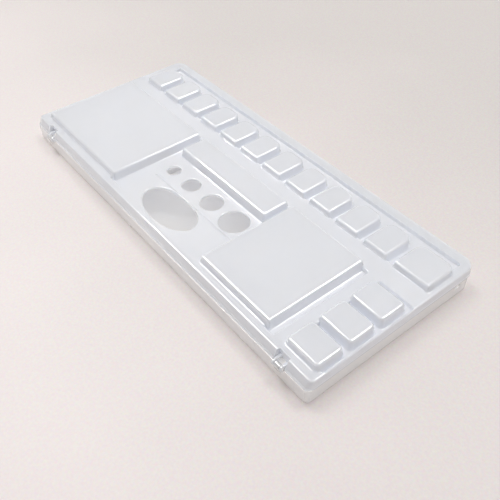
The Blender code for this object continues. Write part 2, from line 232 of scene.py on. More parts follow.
# %% The grooves and the ground's height
STEP_HALF = 0.45  # half the width of a step from the land down to a groove
RAMP_HALF = 1.6
GROOVE_R = 0.5
TUCK = 2  # how far a groove's edge is tucked under a floor beside it
UNDER = 1.2  # how far it is tucked under a floor that stands across it
BORDER = 6.4
TROUGH_WIDTH = 11.2
SHELF_WIDTH = 6.4
SIDE_LEAN = 0.5  # how far the outer walls lean in
NEAR_BORDER = 1.0
PANEL_START, PANEL_END = FAR + 90.0, FRONT + 26.4
SHELF_END = medium_wells[0].x0
SHELF_START = SHELF_END - SHELF_WIDTH
MOAT_BACK = BACK - BORDER
TROUGH_BACK = small_wells[0].y0
TROUGH_FRONT = TROUGH_BACK - TROUGH_WIDTH
MOAT_FRONT = field_a.y0 - 1.0
NEAR_LIP = NEAR - SIDE_LEAN - NEAR_BORDER


def groove(x0, x1, y0, y1, half=STEP_HALF):
    return Box(x0, x1, y0, y1, GROOVE_R, GROOVE_R), half


grooves = [
    groove(field_a.x0 + TUCK, small_wells[-1].x1 - TUCK, TROUGH_BACK + UNDER, MOAT_BACK),
    groove(field_a.x1 - TUCK, PANEL_START, MOAT_FRONT, TROUGH_FRONT),
    groove(field_a.x1 - TUCK, field_b.x0 + TUCK, PANEL_END, TROUGH_FRONT, RAMP_HALF),
    groove(field_b.x1 - TUCK, SHELF_START, MOAT_FRONT, TROUGH_FRONT),
    groove(SHELF_END + UNDER, NEAR_LIP, medium_wells[0].y0 + TUCK, TROUGH_FRONT),
]


# %% How high the sheet stands anywhere
FLOOR_REACH = 4  # a floor's wall and foot end within this distance


def eased(share):
    """Rises from 0 to 1 with a level start and end."""
    return share * share * (3 - 2 * share)


def ground_height(points, inset):
    """Height of the land and grooves, or of their inside one inset lower."""
    depth = np.zeros(len(points))
    for box, half in grooves:
        across = (half - distance(points, box.grown(inset))) / (2 * half)
        across = np.clip(across, 0, 1)
        depth = np.maximum(depth, eased(across))
    return LAND - inset - (LAND - GROOVE) * depth


def sheet_height(points, profile, inset):
    ground = ground_height(points, inset)
    height = ground
    for box in floors:
        away = distance(points, box) + inset
        near = away < FLOOR_REACH
        raised = profile.height(away[near], ground[near])
        height[near] = np.maximum(height[near], raised)
    return height


# %% Lines along every rounding of the well leaf
def spread(values, gap=0.07):
    """Sorted values, without those that lie closer together than the gap."""
    kept = []
    for value in sorted(values):
        if not kept or value - kept[-1] > gap:
            kept.append(value)
    return kept


outside_lines = spread(outside_profile.lines((LAND, GROOVE), 7, 4))
inside_lines = [away - WALL for away in inside_profile.lines((LAND - WALL,), 2, 3)]
floor_lines = spread(outside_lines + inside_lines, 0.09)
guide_lines = [outline(box.grown(by)) for box in floors for by in floor_lines]
for box, half in grooves:
    across = [half * (2 * i / 5 - 1) for i in range(6)]
    across += [half * (i - 1) + WALL for i in range(3)]
    guide_lines += [outline(box.grown(by), 2) for by in across]
print(len(floor_lines), "lines round each floor,", len(guide_lines), "lines in all")

# %% [markdown]
# ### From lines to a closed body
#
# The triangulation fills everything inside its lines, so triangles that lie outside the rim or over
# a hole are dropped. What is left has open edges. Each open edge grows a skirt: a strip of faces
# whose rows follow a path from the upper side to the lower side, round the rim or down through a
# hole.


# %% The triangulation
def triangulate(lines, keep):
    """Points and triangles between closed lines, where keep says yes for a triangle's middle."""
    points, edges = [], []
    for line in lines:
        first = len(points)
        count = len(line)
        points += line
        edges += [(first + i, first + (i + 1) % count) for i in range(count)]
    made = delaunay_2d_cdt([Vector(p) for p in points], edges, [], 1, 1e-4, False)
    flat = np.array([tuple(v) for v in made[0]])
    triangles = np.array([face for face in made[2] if len(face) == 3])
    triangles = triangles[keep(flat[triangles].mean(axis=1))]
    used, places = np.unique(triangles, return_inverse=True)
    flat = flat[used]
    triangles = places.reshape(-1, 3)
    sides = flat[triangles]
    first, second = sides[:, 1] - sides[:, 0], sides[:, 2] - sides[:, 0]
    turned = first[:, 0] * second[:, 1] - first[:, 1] * second[:, 0] < 0
    triangles[turned] = triangles[turned][:, ::-1]
    return flat, triangles


def open_edges(triangles):
    """Edges that only one triangle has, in that triangle's own direction."""
    edges = {edge for a, b, c in triangles.tolist() for edge in ((a, b), (b, c), (c, a))}
    return [edge for edge in edges if (edge[1], edge[0]) not in edges]


# %% The closed sheet
def closed_sheet(name, flat, triangles, upper, lower, path):
    """Joins an upper and a lower height with skirts, whose rows path gives for the open edge."""
    count = len(flat)
    vertices = [np.column_stack((flat, upper)), np.column_stack((flat, lower))]
    faces = triangles.tolist()
    faces += (triangles[:, ::-1] + count).tolist()
    edges = open_edges(triangles)
    rim = sorted({i for edge in edges for i in edge})
    place = {point: i for i, point in enumerate(rim)}
    rows = path(flat[rim], upper[rim], lower[rim])
    vertices += rows
    starts = [2 * count + i * len(rim) for i in range(len(rows))]
    for a, b in edges:
        above = (a, b)
        for start in starts:
            below = (start + place[a], start + place[b])
            faces.append((above[1], above[0], below[0], below[1]))
            above = below
        faces.append((above[1], above[0], count + a, count + b))
    mesh = bpy.data.meshes.new(name)
    mesh.from_pydata((np.vstack(vertices) * MM).tolist(), [], faces)
    mesh.validate()
    made = bpy.data.objects.new(name, mesh)
    bpy.context.scene.collection.objects.link(made)
    print(name, len(mesh.vertices), "points", len(mesh.polygons), "faces")
    return made


# %% [markdown]
# ## The well leaf
#
# Its rim is a thin wall that leans in towards the land, more at the hinge than elsewhere, with a
# rounded top edge and a small lip just above the seam. The lip's rounding catches the light as a
# line, which a plain wall would not. The thumb hole is an oval and the four brush holes are round,
# each larger than the last. All of them are paths of the same skirt, so the leaf stays one closed
# body.

# %% Rim and holes of the well leaf
RIM_R = 0.7
RIM_INSIDE_R = 0.4
FRONT_LEAN = 1.9
LIP_R = 6.0
HINGE_EDGE_R = 2.6
LIP_SHARE = 0.3  # of the lean
LIP_HEIGHT = 1.1
LIP_ROUND = 0.4
HOLE_EDGE_R = 0.5
HOLE_LOWER_R = 0.25
THUMB_SHARE, BRUSH_SHARE = 0.68, 0.67  # of a hole, taken up by its opening box
NUDGE = 0.01
QUARTER = [math.radians(15 * i) for i in range(1, 7)]
RIM_INSET = WALL + RIM_INSIDE_R

land_edge = Box(
    FAR + SIDE_LEAN, NEAR - SIDE_LEAN, FRONT + FRONT_LEAN, BACK - SIDE_LEAN, HINGE_EDGE_R, LIP_R
)
sheet_edge = land_edge.grown(-RIM_INSET)


def hole(name, share):
    """Middle and half sizes of a hole, whose opening box takes up that share of it."""
    box = opening(name)
    middle = np.array(((box.x0 + box.x1) / 2, (box.y0 + box.y1) / 2))
    return middle, np.array(((box.x1 - box.x0) / 2, (box.y1 - box.y0) / 2)) / share


holes = [hole("thumb_hole", THUMB_SHARE)]
holes += [hole(f"brush_hole_{i}", BRUSH_SHARE) for i in range(1, 5)]


def oval(middle, half, by, steps=64):
    """Points of a hole's edge, grown by that much."""
    turns = [2 * math.pi * i / steps for i in range(steps)]
    (x, y), (half_x, half_y) = middle, half + by
    return [(x + half_x * math.cos(a), y + half_y * math.sin(a)) for a in turns]


def over_hole(points, by):
    """Which points lie over a hole grown by that much."""
    found = np.zeros(len(points), bool)
    for middle, half in holes:
        found |= (((points - middle) / (half + by)) ** 2).sum(axis=1) < 1
    return found


for middle, half in holes:
    guide_lines += [oval(middle, half, HOLE_EDGE_R), oval(middle, half, HOLE_EDGE_R + 0.3)]
print("thumb hole", holes[0][1] * 2, "mm")


# %% Path of the skirt round the rim
def outward(points):
    """Direction straight out of the rim, for points on it."""
    away = distance(points, sheet_edge)
    along_x = distance(points + (NUDGE, 0), sheet_edge) - away
    along_y = distance(points + (0, NUDGE), sheet_edge) - away
    found = np.column_stack((along_x, along_y))
    return found / np.maximum(np.linalg.norm(found, axis=1), 1e-9)[:, None]


def rim_rows(points, lower):
    """Rows from the land over the edge, down the wall, under the seam and up the inside."""
    out = outward(points)
    lean = out * np.column_stack(
        (np.full(len(out), SIDE_LEAN), np.where(out[:, 1] < 0, FRONT_LEAN, SIDE_LEAN))
    )
    rows = []

    def row(place, height):
        rows.append(np.column_stack((place, np.broadcast_to(height, len(place)))))

    flat_reach = RIM_INSET - RIM_R
    for reach in (0.25, 0.4, 0.55, 0.7, flat_reach):
        place = points + out * reach
        row(place, sheet_height(place, outside_profile, 0.0))
    for turn in QUARTER:
        row(points + out * (flat_reach + RIM_R * math.sin(turn)), LAND - RIM_R * (1 - math.cos(turn)))
    foot = points + out * RIM_INSET + lean
    wall_start = points + out * RIM_INSET
    lip = lean * LIP_SHARE
    for share in (0.04, 0.5, 0.96):
        height = (LAND - RIM_R) * (1 - share) + (SEAM + LIP_HEIGHT) * share
        row(wall_start + (lean - lip) * share, height)
    for turn in QUARTER:
        height = SEAM + LIP_HEIGHT - LIP_ROUND * (1 - math.cos(turn))
        row(foot - lip * (1 - math.sin(turn)), height)
    for inset, rise in ((0.04, 0.04), (0.15, 0.0), (WALL - 0.15, 0.0), (WALL, 0.15)):
        row(foot - out * inset, SEAM + rise)
    inside_start = points + out * RIM_INSIDE_R
    for turn in reversed(QUARTER[1::2]):
        place = inside_start - out * RIM_INSIDE_R * (1 - math.sin(turn))
        row(place, lower - RIM_INSIDE_R * (1 - math.cos(turn)))
    return rows


# %% Path of the skirts through the holes
def hole_rows(points, upper, lower, count):
    """Rows over the rounded edge of a hole, down its wall and under its lower edge."""
    towards = np.zeros_like(points)
    for middle, half in holes:
        here = (((points - middle) / (half + HOLE_EDGE_R + 0.1)) ** 2).sum(axis=1) < 1
        slope = (points - middle) / (half + HOLE_EDGE_R) ** 2
        slope /= np.linalg.norm(slope, axis=1)[:, None]
        towards[here] = -slope[here]
    half_count = count // 2
    rows = []
    for i in range(1, half_count + 1):
        turn = math.radians(90 * i / half_count)
        place = points + towards * HOLE_EDGE_R * math.sin(turn)
        rows.append(np.column_stack((place, upper - HOLE_EDGE_R * (1 - math.cos(turn)))))
    for i in range(count - half_count):
        turn = math.radians(90 * (1 - i / (count - half_count)))
        place = points + towards * (HOLE_EDGE_R - HOLE_LOWER_R * (1 - math.sin(turn)))
        rows.append(np.column_stack((place, lower + HOLE_LOWER_R * (1 - math.cos(turn)))))
    return rows


def leaf_path(points, upper, lower):
    at_hole = over_hole(points, HOLE_EDGE_R + 0.05)
    rows = rim_rows(points, lower)
    through = hole_rows(points, upper, lower, len(rows))
    return [np.where(at_hole[:, None], inner, outer) for outer, inner in zip(rows, through)]


# %% Make the well leaf's sheet
def on_leaf(points):
    return (distance(points, sheet_edge) < 0) & ~over_hole(points, HOLE_EDGE_R)


flat, triangles = triangulate(guide_lines + [outline(sheet_edge, 10)], on_leaf)
well_leaf = closed_sheet(
    "well_leaf_moulding",
    flat,
    triangles,
    sheet_height(flat, outside_profile, 0.0),
    sheet_height(flat, inside_profile, WALL),
    leaf_path,
)


# %% [markdown]
# ## The mixing leaf
#
# The lower leaf is a plain tray: a flat floor, two low ribs that part three mixing areas, and an
# upright rim. It is the same kind of moulded sheet, so the same triangulation and skirts make it.
# Only the height rule and the path of the skirt change.

# %% Heights and skirt of the tray
RIB_HEIGHT = 2.4
RIB_HALF = 1.8
FLOOR_R = 1.0
BOTTOM_R = 0.9
TIP_R = 0.2
tray = Box(tray_low.x, tray_high.x, FRONT, tray_high.y, HINGE_EDGE_R, LIP_R)
tray_floor = tray.grown(-WALL - FLOOR_R)
rib_places = [tray.x0 + WALL + (tray.x1 - tray.x0 - 2 * WALL) * i / 3 for i in (1, 2)]


def tray_height(points):
    height = np.full(len(points), WALL)
    for place in rib_places:
        share = np.clip((RIB_HALF - np.abs(points[:, 0] - place)) / (0.75 * RIB_HALF), 0, 1)
        height = np.maximum(height, WALL + RIB_HEIGHT * eased(share))
    return height


def tray_path(points, upper, _lower):
    """Up the inside of the rim, over its rounded tip, down the outside and under the bottom edge."""
    out = np.zeros_like(points)
    for axis in (0, 1):
        step = np.eye(2)[axis] * NUDGE
        out[:, axis] = distance(points + step, tray_floor) - distance(points - step, tray_floor)
    out /= np.linalg.norm(out, axis=1)[:, None]
    rim = FLOOR_R + WALL
    rows = []

    def row(reach, height):
        rows.append(np.column_stack((points + out * reach, np.broadcast_to(height, len(points)))))

    for turn in QUARTER:
        row(FLOOR_R * math.sin(turn), upper + FLOOR_R * (1 - math.cos(turn)))
    row(FLOOR_R, TRAY_TOP - TIP_R)
    row(FLOOR_R + 0.3 * TIP_R, TRAY_TOP - 0.3 * TIP_R)
    row(FLOOR_R + TIP_R, TRAY_TOP)
    row(rim - TIP_R, TRAY_TOP)
    row(rim - 0.3 * TIP_R, TRAY_TOP - 0.3 * TIP_R)
    row(rim, TRAY_TOP - TIP_R)
    row(rim, (TRAY_TOP + BOTTOM_R) / 2)
    for turn in [0.0] + QUARTER:
        row(rim - BOTTOM_R * (1 - math.cos(turn)), BOTTOM_R * (1 - math.sin(turn)))
    return rows


# %% Make the mixing leaf's sheet
tray_lines = [outline(tray_floor, 10)]
for place in rib_places:
    for share in (1.0, 0.88, 0.75, 0.63, 0.5, 0.38, 0.25, 0.12):
        half = RIB_HALF * share
        rib = Box(place - half, place + half, tray.y0 + 1, tray.y1 - 1, 0.01, 0.01)
        tray_lines.append(outline(rib, 1))
flat, triangles = triangulate(tray_lines, lambda points: distance(points, tray_floor) < 0)
mixing_leaf = closed_sheet(
    "mixing_leaf_moulding", flat, triangles, tray_height(flat), np.zeros(len(flat)), tray_path
)

# %% [markdown]
# ## The hinges
#
# Each hinge is a barrel on the mixing leaf between two ears on the well leaf, with a pin through
# all three. Both hinges are alike, so each shape is made once at the origin of its own row and a
# Geometry Nodes tree sets the copies along the edge. Moving the hinges, or adding a third, is then
# one number.

# %% The row tree
def row_tree():
    """Geometry Nodes tree: copies of the mesh along X, as real geometry with a material."""
    tree = bpy.data.node_groups.new("hinge_row", "GeometryNodeTree")
    face = tree.interface
    face.new_socket("Geometry", in_out="INPUT", socket_type="NodeSocketGeometry")
    face.new_socket("Count", in_out="INPUT", socket_type="NodeSocketInt").default_value = 2
    face.new_socket("First", in_out="INPUT", socket_type="NodeSocketFloat")
    face.new_socket("Spacing", in_out="INPUT", socket_type="NodeSocketFloat")
    face.new_socket("Material", in_out="INPUT", socket_type="NodeSocketMaterial")
    face.new_socket("Geometry", in_out="OUTPUT", socket_type="NodeSocketGeometry")
    node = tree.nodes.new
    given, out = node("NodeGroupInput"), node("NodeGroupOutput")
    start, step = node("ShaderNodeCombineXYZ"), node("ShaderNodeCombineXYZ")
    line = node("GeometryNodeMeshLine")
    line.mode = "OFFSET"
    copies, real = node("GeometryNodeInstanceOnPoints"), node("GeometryNodeRealizeInstances")
    finish = node("GeometryNodeSetMaterial")
    link = tree.links.new
    link(given.outputs["First"], start.inputs["X"])
    link(given.outputs["Spacing"], step.inputs["X"])
    link(given.outputs["Count"], line.inputs["Count"])
    link(start.outputs[0], line.inputs["Start Location"])
    link(step.outputs[0], line.inputs["Offset"])
    link(line.outputs[0], copies.inputs["Points"])
    link(given.outputs["Geometry"], copies.inputs["Instance"])
    link(copies.outputs[0], real.inputs[0])
    link(real.outputs[0], finish.inputs["Geometry"])
    link(given.outputs["Material"], finish.inputs["Material"])
    link(finish.outputs[0], out.inputs[0])
    return tree


HINGE_ROW = row_tree()
HINGE_FROM_END = 18.0
FIRST_HINGE = FAR + HINGE_FROM_END
HINGE_SPACING = NEAR - FAR - 2 * HINGE_FROM_END


def plain_mesh(made):
    """Turns what the modifiers make into the object's own mesh."""
    graph = bpy.context.evaluated_depsgraph_get()
    mesh = bpy.data.meshes.new_from_object(made.evaluated_get(graph))
    made.modifiers.clear()
    made.data = mesh
    return made


def at_hinges(made, material=None):
    """Copies a shape, made round X = 0, to both hinges."""
    modifier = made.modifiers.new("row", "NODES")
    modifier.node_group = HINGE_ROW
    sockets = {s.name: s.identifier for s in HINGE_ROW.interface.items_tree if s.in_out == "INPUT"}
    modifier[sockets["First"]] = FIRST_HINGE * MM
    modifier[sockets["Spacing"]] = HINGE_SPACING * MM
    modifier[sockets["Material"]] = material
    return plain_mesh(made)


print("hinges at", FIRST_HINGE, "and", FIRST_HINGE + HINGE_SPACING, "mm")

# %% [markdown]
# ### Shapes cut and joined at the hinges
#
# Seen from the end, every hinge shape is a flat outline drawn out along X: an ear is a disc with a
# web, a pocket is a rectangle. One function makes them all. The joins and cuts are exact Booleans,
# because here the edges really are crisp, as in the mould.


# %% Drawn-out outlines and Booleans
def outward_faces(mesh):
    work = bmesh.new()
    work.from_mesh(mesh)
    bmesh.ops.recalc_face_normals(work, faces=work.faces)
    work.to_mesh(mesh)
    work.free()


def drawn(name, outlines, bevel=0.0):
    """Closed bodies from (outline in Y and Z, start X, end X)."""
    points, faces = [], []
    for around, x0, x1 in outlines:
        first, count = len(points), len(around)
        points += [(x, y, z) for x in (x0, x1) for y, z in around]
        faces.append([first + i for i in range(count)])
        faces.append([first + count + i for i in reversed(range(count))])
        for i in range(count):
            j = (i + 1) % count
            faces.append([first + j, first + i, first + count + i, first + count + j])
    mesh = bpy.data.meshes.new(name)
    mesh.from_pydata([[value * MM for value in point] for point in points], [], faces)
    made = bpy.data.objects.new(name, mesh)
    bpy.context.scene.collection.objects.link(made)
    outward_faces(mesh)
    if bevel:
        modifier = made.modifiers.new("edges", "BEVEL")
        modifier.width, modifier.segments, modifier.limit_method = bevel * MM, 2, "ANGLE"
        modifier.angle_limit = math.radians(40)
        plain_mesh(made)
    return made


def combine(target, tool, operation):
    modifier = target.modifiers.new("combine", "BOOLEAN")
    modifier.operation, modifier.solver, modifier.object = operation, "EXACT", tool
    plain_mesh(target)
    bpy.data.objects.remove(tool)


def arc(radius, start, end, steps=12):
    """Points round the hinge's axis, by angle from +Y towards +Z."""
    turns = [math.radians(start + (end - start) * i / steps) for i in range(steps + 1)]
    return [(hinge.y + radius * math.cos(a), hinge.z + radius * math.sin(a)) for a in turns]


def rectangle(y0, y1, z0, z1):
    return [(y0, z0), (y1, z0), (y1, z1), (y0, z1)]


# %% Pockets, ears and pin bores of the well leaf
KNUCKLE_R = 1.4
PIN_R = 0.6
BORE_R = 0.85
BARREL_HALF = 1.5
KNUCKLE_GAP = 0.3
EAR_WIDTH = 1.2
EAR_ROOM = 0.6
FINE_BEVEL = 0.12
POCKET_HALF = BARREL_HALF + EAR_WIDTH + KNUCKLE_GAP + EAR_ROOM
POCKET_BACK = FRONT + 3.6
EAR_START = BARREL_HALF + KNUCKLE_GAP
EAR_TOP = hinge.z + KNUCKLE_R + EAR_ROOM
BORE_HALF = POCKET_HALF - KNUCKLE_GAP / 2
PAST = 5.0  # how far a cut reaches past the body

housing = rectangle(FRONT + FRONT_LEAN, POCKET_BACK + WALL, SEAM, LAND - 0.4)
housing_half = POCKET_HALF + WALL
combine(well_leaf, at_hinges(drawn("housing", [(housing, -housing_half, housing_half)])), "UNION")
pocket = rectangle(FRONT - PAST, POCKET_BACK, SEAM - PAST, TOP + PAST)
combine(well_leaf, at_hinges(drawn("pocket", [(pocket, -POCKET_HALF, POCKET_HALF)])), "DIFFERENCE")

ear = arc(KNUCKLE_R, 6, -270, 24)
ear += [(FRONT + 0.4, EAR_TOP), (POCKET_BACK + WALL / 2, EAR_TOP), (POCKET_BACK + WALL / 2, SEAM)]
ears = [(ear, EAR_START, EAR_START + EAR_WIDTH), (ear, -EAR_START - EAR_WIDTH, -EAR_START)]
combine(well_leaf, at_hinges(drawn("ears", ears, FINE_BEVEL)), "UNION")
bore = arc(BORE_R, 0, 345, 23)
combine(well_leaf, at_hinges(drawn("bore", [(bore, -BORE_HALF, BORE_HALF)])), "DIFFERENCE")
print("well leaf:", len(well_leaf.data.polygons), "faces")

# %% Bosses, barrels and lift notches of the mixing leaf
BOSS_BACK = FRONT + KNUCKLE_R + 2 * WALL
RELIEF_R = KNUCKLE_R + KNUCKLE_GAP
BOSS_BEVEL = 0.25
boss = rectangle(FRONT + WALL / 2, BOSS_BACK, WALL / 2, TRAY_TOP)
combine(
    mixing_leaf, at_hinges(drawn("boss", [(boss, -housing_half, housing_half)], BOSS_BEVEL)), "UNION"
)
relief = arc(RELIEF_R, 0, 345, 23)
relief_width = EAR_WIDTH + 2 * KNUCKLE_GAP
reliefs = [
    (relief, BARREL_HALF, BARREL_HALF + relief_width),
    (relief, -BARREL_HALF - relief_width, -BARREL_HALF),
]
combine(mixing_leaf, at_hinges(drawn("relief", reliefs)), "DIFFERENCE")

web_low = hinge.z - 2 * KNUCKLE_R
barrel = arc(KNUCKLE_R, 210, 0, 20) + [(FRONT + WALL, TRAY_TOP), (FRONT + WALL, web_low)]
barrel += [(hinge.y - KNUCKLE_R / 2, web_low)]
barrels = [(barrel, -BARREL_HALF, BARREL_HALF)]
combine(mixing_leaf, at_hinges(drawn("barrel", barrels, FINE_BEVEL)), "UNION")
combine(mixing_leaf, at_hinges(drawn("bore", [(bore, -BORE_HALF, BORE_HALF)])), "DIFFERENCE")

NOTCH_BACK = BACK - 10.5
NOTCH_WIDTH = 4.0
NOTCH_DEPTH = 2.6
NOTCH_BEVEL = 0.5
notch = rectangle(NOTCH_BACK - NOTCH_WIDTH, NOTCH_BACK, TRAY_TOP - NOTCH_DEPTH, TRAY_TOP + PAST)
notches = [(notch, FAR - 1, FAR + 2), (notch, NEAR - 2, NEAR + 1)]
combine(mixing_leaf, drawn("lift_notch", notches, NOTCH_BEVEL), "DIFFERENCE")
print("mixing leaf:", len(mixing_leaf.data.polygons), "faces")

# %% [markdown]
# ### The pins
#
# A pin is a short rod with rounded ends. It is turned from a half outline, which is quicker to
# shape than a cylinder with a bevel, and the row tree sets one at each hinge.


# %% Turn the pins
def turned(name, profile, sides=28):
    """Body turned round the hinge's axis from (place along X, radius)."""
    points, faces = [], []
    for x, radius in profile:
        for i in range(sides):
            turn = 2 * math.pi * i / sides
            place = (x, hinge.y + radius * math.cos(turn), hinge.z + radius * math.sin(turn))
            points.append([value * MM for value in place])
    for ring in range(len(profile) - 1):
        for i in range(sides):
            j = (i + 1) % sides
            low, high = ring * sides, (ring + 1) * sides
            faces.append((low + i, low + j, high + j, high + i))
    faces.append(list(range(sides)))
    faces.append(list(range(len(points) - sides, len(points))))
    mesh = bpy.data.meshes.new(name)
    mesh.from_pydata(points, [], faces)
    outward_faces(mesh)
    made = bpy.data.objects.new(name, mesh)
    bpy.context.scene.collection.objects.link(made)
    return made


PIN_HALF = BARREL_HALF + KNUCKLE_GAP + EAR_WIDTH + 0.25
PIN_TIP = 0.2
tip = [
    (PIN_TIP * (1 - math.sin(a)), PIN_R - PIN_TIP * (1 - math.cos(a)))
    for a in (math.radians(90 - 22.5 * i) for i in range(5))
]
pin_profile = [(x - PIN_HALF, radius) for x, radius in tip]
pin_profile += [(PIN_HALF - x, radius) for x, radius in reversed(tip)]

# %% [markdown]
# ## Milky plastic
#
# The palette is moulded in natural polypropylene: whitish, a little see-through, and satin with a
# crisp gleam on its edges. Light soaks a few millimetres in and comes out softly, which is what
# subsurface scattering does, and a thin clear coat gives the gleam. A shut shell would still be
# dark inside, because a renderer follows light for only a few bounces. So a Mix Shader driven by
# Light Path lets the lamps' own rays through each face, weakened, while a camera still sees the
# plastic. A frosted glass would be truer, but noisy. Three things vary over the surface: a slow
# clouding of the colour, a fine grain left by the mould, and the shallow sinks of a large flat
# moulding. All the pieces use them in their own strengths, so they are one node group.

# %% The moulded surface group
def group_input(tree, name, kind, value):
    socket = tree.interface.new_socket(name, in_out="INPUT", socket_type="NodeSocket" + kind)
    socket.default_value = value


def noise(tree, scale, detail, place):
    made = tree.nodes.new("ShaderNodeTexNoise")
    made.inputs["Detail"].default_value = detail
    tree.links.new(place, made.inputs["Vector"])
    if isinstance(scale, (int, float)):
        made.inputs["Scale"].default_value = scale
    else:
        tree.links.new(scale, made.inputs["Scale"])
    return made


def moulded_group():
    tree = bpy.data.node_groups.new("moulded_surface", "ShaderNodeTree")
    group_input(tree, "Milk", "Color", (0.8, 0.8, 0.8, 1))
    group_input(tree, "Cloud", "Color", (0.7, 0.7, 0.7, 1))
    group_input(tree, "Cloud Scale", "Float", 30.0)
    group_input(tree, "Smooth", "Float", 0.25)
    group_input(tree, "Rough", "Float", 0.4)
    group_input(tree, "Grain Scale", "Float", 1800.0)
    group_input(tree, "Grain Depth", "Float", 0.00001)
    group_input(tree, "Sink Depth", "Float", 0.0001)
    for name, kind in (("Color", "Color"), ("Roughness", "Float"), ("Normal", "Vector")):
        tree.interface.new_socket(name, in_out="OUTPUT", socket_type="NodeSocket" + kind)
    node, link = tree.nodes.new, tree.links.new
    given, out, place = node("NodeGroupInput"), node("NodeGroupOutput"), node("ShaderNodeTexCoord")
    place = place.outputs["Object"]
    cloud = noise(tree, given.outputs["Cloud Scale"], 3.0, place)
    grain = noise(tree, given.outputs["Grain Scale"], 2.0, place)
    sink = noise(tree, 28.0, 1.0, place)
    tint = node("ShaderNodeMix")
    tint.data_type = "RGBA"
    link(cloud.outputs[0], tint.inputs["Factor"])
    link(given.outputs["Milk"], tint.inputs["A"])
    link(given.outputs["Cloud"], tint.inputs["B"])
    link(tint.outputs["Result"], out.inputs["Color"])
    dull = node("ShaderNodeMapRange")
    link(cloud.outputs[0], dull.inputs["Value"])
    link(given.outputs["Smooth"], dull.inputs["To Min"])
    link(given.outputs["Rough"], dull.inputs["To Max"])
    dull.inputs["From Min"].default_value, dull.inputs["From Max"].default_value = 0.3, 0.7
    link(dull.outputs[0], out.inputs["Roughness"])
    sinks, grains = node("ShaderNodeBump"), node("ShaderNodeBump")
    link(sink.outputs[0], sinks.inputs["Height"])
    link(given.outputs["Sink Depth"], sinks.inputs["Distance"])
    link(grain.outputs[0], grains.inputs["Height"])
    link(given.outputs["Grain Depth"], grains.inputs["Distance"])
    link(sinks.outputs[0], grains.inputs["Normal"])
    link(grains.outputs[0], out.inputs["Normal"])
    return tree


MOULDED = moulded_group()


# %% The two leaves' plastic and the pins'
def new_material(name):
    material = bpy.data.materials.new(name)
    material.use_nodes = True
    return material, material.node_tree, material.node_tree.nodes["Principled BSDF"]


def milky(name, milk, cloud, smooth, rough, scatter, let_through=0.89):
    """Milky plastic: colours, gloss, depth of scattering in mm, light that a face lets through."""
    material, tree, shader = new_material(name)
    surface = tree.nodes.new("ShaderNodeGroup")
    surface.node_tree = MOULDED
    surface.inputs["Milk"].default_value = (*milk, 1)
    surface.inputs["Cloud"].default_value = (*cloud, 1)
    surface.inputs["Smooth"].default_value = smooth
    surface.inputs["Rough"].default_value = rough
    link = tree.links.new
    link(surface.outputs["Color"], shader.inputs["Base Color"])
    link(surface.outputs["Roughness"], shader.inputs["Roughness"])
    link(surface.outputs["Normal"], shader.inputs["Normal"])
    shader.inputs["IOR"].default_value = 1.49
    shader.inputs["Coat IOR"].default_value = 1.6
    shader.inputs["Subsurface Weight"].default_value = 1.0
    shader.inputs["Subsurface Radius"].default_value = (1.0, 0.95, 0.9)
    shader.inputs["Subsurface Scale"].default_value = scatter * MM
    shader.inputs["Coat Weight"].default_value = 1.0
    shader.inputs["Coat Roughness"].default_value = 0.04
    path, clear = tree.nodes.new("ShaderNodeLightPath"), tree.nodes.new("ShaderNodeBsdfTransparent")
    clear.inputs["Color"].default_value = (let_through, let_through, let_through, 1)
    either = tree.nodes.new("ShaderNodeMixShader")
    link(path.outputs["Is Shadow Ray"], either.inputs[0])
    link(shader.outputs[0], either.inputs[1])
    link(clear.outputs[0], either.inputs[2])
    link(either.outputs[0], tree.nodes["Material Output"].inputs["Surface"])
    return material


well_plastic = milky("well_leaf_plastic", (0.75, 0.78, 0.855), (0.715, 0.74, 0.81), 0.14, 0.26, 5.0)
tray_plastic = milky(
    "mixing_leaf_plastic", (0.87, 0.86, 0.85), (0.84, 0.825, 0.82), 0.14, 0.26, 5.0, 0.7
)
pin_plastic = milky("hinge_pin_plastic", (0.78, 0.78, 0.79), (0.75, 0.75, 0.75), 0.16, 0.26, 2.0)

# %% [markdown]
# ### Smooth faces, flat faces
#
# Smooth shading blends the normals where a large flat face meets a fine rounding, and the flat face
# then looks pillowed. Weighting each normal by the size of its faces keeps the flats flat, and
# edges sharper than the roundings stay sharp.


# %% Finish the pieces
SLIVER = 0.003


def mended(made):
    """Merges the sliver edges that Booleans leave, and closes what opens between them."""
    work = bmesh.new()
    work.from_mesh(made.data)
    bmesh.ops.remove_doubles(work, verts=work.verts, dist=SLIVER * MM)
    bmesh.ops.dissolve_degenerate(work, edges=work.edges, dist=SLIVER * MM / 3)
    gaps = [edge for edge in work.edges if edge.is_boundary]
    bmesh.ops.holes_fill(work, edges=gaps, sides=6)
    print(made.name, "edges without two faces:", sum(not edge.is_manifold for edge in work.edges))
    work.to_mesh(made.data)
    work.free()


def finished(made, material):
    mended(made)
    made.data.materials.clear()
    made.data.materials.append(material)
    made.data.polygons.foreach_set("material_index", [0] * len(made.data.polygons))
    made.data.shade_smooth()
    made.data.set_sharp_from_angle(angle=math.radians(35))
    modifier = made.modifiers.new("flats", "WEIGHTED_NORMAL")
    modifier.keep_sharp = True
    return plain_mesh(made)


finished(well_leaf, well_plastic)
finished(mixing_leaf, tray_plastic)
pins = at_hinges(turned("hinge_pins", pin_profile), pin_plastic)
finished(pins, pin_plastic)
for piece in (well_leaf, mixing_leaf, pins):
    print(piece.name, len(piece.data.polygons), "faces", [round(v / MM, 2) for v in piece.dimensions])

# %% Which body each piece rides on, and which nodes it stands for
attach(well_leaf, "well_leaf")
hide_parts("well_leaf")
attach(mixing_leaf, "mixing_leaf")
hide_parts("mixing_leaf")
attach(pins, "well_leaf")
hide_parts("hinge_pin_far", "hinge_pin_near")

